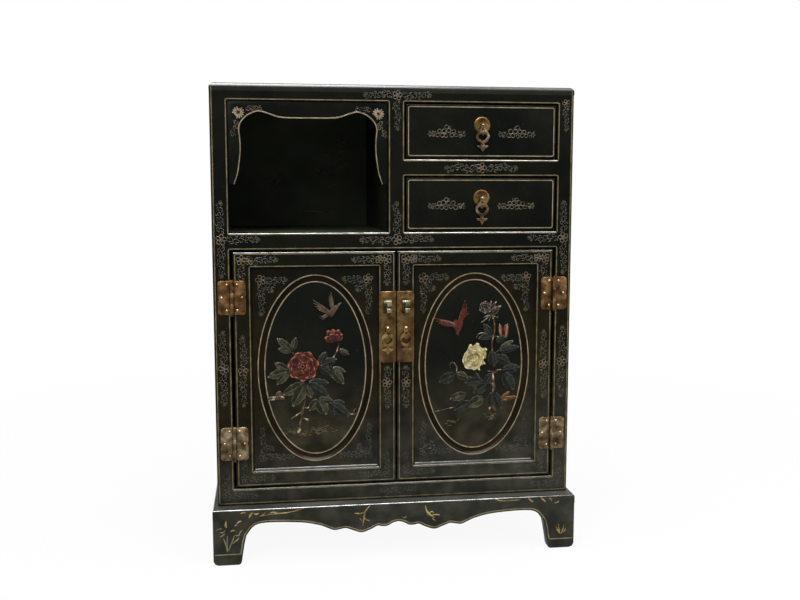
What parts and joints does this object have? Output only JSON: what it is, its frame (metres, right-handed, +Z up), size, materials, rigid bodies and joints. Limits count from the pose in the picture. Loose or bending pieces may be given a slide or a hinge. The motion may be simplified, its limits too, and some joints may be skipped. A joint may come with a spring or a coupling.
{
  "type": "lacquered cabinet",
  "caption": "Upright lacquered cabinet: an open arched niche beside stacked drawers, over hinged doors with oval stone-relief panels and lock plates, on a bracket-foot base.",
  "frame": {"origin": "on the floor under the middle of the base", "axes": "+Z up, the front faces -Y, +X to the right as seen from the front"},
  "size_m": [0.72, 0.426, 0.92],
  "materials": {
    "black_lacquer": "dark satin lacquer over wood",
    "drawer_wood": "plain unfinished wood",
    "aged_brass": "aged satin brass",
    "pale_nickel": "worn nickel plate",
    "red_stone": "polished red soapstone",
    "cream_stone": "polished cream soapstone",
    "tan_stone": "polished tan soapstone",
    "green_stone": "polished grey-green soapstone"
  },
  "bodies": {
    "case": {"top_board": "black_lacquer", "bottom_board": "black_lacquer", "left_side": "black_lacquer", "right_side": "black_lacquer", "back_panel": "black_lacquer", "deck_board": "black_lacquer", "upper_partition": "black_lacquer", "drawer_divider": "black_lacquer", "drawer_lining": "drawer_wood", "left_stile": "black_lacquer", "right_stile": "black_lacquer", "middle_rail": "black_lacquer", "niche_arch": "black_lacquer", "base_ledge": "black_lacquer", "base_front": "black_lacquer", "base_left": "black_lacquer", "base_right": "black_lacquer", "base_back": "black_lacquer", "left_upper_case_leaf": "aged_brass", "left_lower_case_leaf": "aged_brass", "right_upper_case_leaf": "aged_brass", "right_lower_case_leaf": "aged_brass", "left_upper_pin": "aged_brass", "left_lower_pin": "aged_brass", "right_upper_pin": "aged_brass", "right_lower_pin": "aged_brass"},
    "left_door": {"left_door_frame": "black_lacquer", "left_door_panel": "black_lacquer", "left_upper_door_leaf": "aged_brass", "left_lower_door_leaf": "aged_brass", "left_lock_plate": "aged_brass", "left_staple": "pale_nickel", "left_peony": "red_stone", "left_bird": "tan_stone", "left_foliage": "green_stone"},
    "right_door": {"right_door_frame": "black_lacquer", "right_door_panel": "black_lacquer", "right_upper_door_leaf": "aged_brass", "right_lower_door_leaf": "aged_brass", "right_lock_plate": "aged_brass", "right_staple": "pale_nickel", "right_rose": "cream_stone", "right_bird": "red_stone", "right_foliage": "green_stone"},
    "upper_drawer": {"upper_drawer_front": "black_lacquer", "upper_drawer_left_side": "drawer_wood", "upper_drawer_right_side": "drawer_wood", "upper_drawer_back": "drawer_wood", "upper_drawer_bottom": "drawer_wood", "upper_pull_plate": "aged_brass"},
    "lower_drawer": {"lower_drawer_front": "black_lacquer", "lower_drawer_left_side": "drawer_wood", "lower_drawer_right_side": "drawer_wood", "lower_drawer_back": "drawer_wood", "lower_drawer_bottom": "drawer_wood", "lower_pull_plate": "aged_brass"},
    "left_lock_pendant": {"left_lock_pendant": "aged_brass"},
    "right_lock_pendant": {"right_lock_pendant": "aged_brass"},
    "upper_pull_pendant": {"upper_pull_pendant": "aged_brass"},
    "lower_pull_pendant": {"lower_pull_pendant": "aged_brass"}
  },
  "joints": [
    {"name": "left_door_hinge", "type": "hinge", "parent": "case", "child": "left_door", "pos_m": [-0.316, -0.1916, 0.3754], "axis": [0, 0, -1], "range_deg": [0, 170]},
    {"name": "right_door_hinge", "type": "hinge", "parent": "case", "child": "right_door", "pos_m": [0.316, -0.1916, 0.3754], "axis": [0, 0, 1], "range_deg": [0, 170]},
    {"name": "upper_drawer_slide", "type": "slide", "parent": "case", "child": "upper_drawer", "axis": [0, -1, 0], "range_m": [0, 0.25]},
    {"name": "lower_drawer_slide", "type": "slide", "parent": "case", "child": "lower_drawer", "axis": [0, -1, 0], "range_m": [0, 0.25]},
    {"name": "left_lock_pendant_hinge", "type": "hinge", "parent": "left_door", "child": "left_lock_pendant", "pos_m": [-0.01805, -0.1943, 0.4529], "axis": [-1, 0, 0], "range_deg": [0, 75]},
    {"name": "right_lock_pendant_hinge", "type": "hinge", "parent": "right_door", "child": "right_lock_pendant", "pos_m": [0.01805, -0.1943, 0.4529], "axis": [-1, 0, 0], "range_deg": [0, 75]},
    {"name": "upper_pull_pendant_hinge", "type": "hinge", "parent": "upper_drawer", "child": "upper_pull_pendant", "pos_m": [0.16725, -0.1933, 0.84562], "axis": [-1, 0, 0], "range_deg": [0, 75]},
    {"name": "lower_pull_pendant_hinge", "type": "hinge", "parent": "lower_drawer", "child": "lower_pull_pendant", "pos_m": [0.16725, -0.1933, 0.70588], "axis": [-1, 0, 0], "range_deg": [0, 75]}
  ]
}
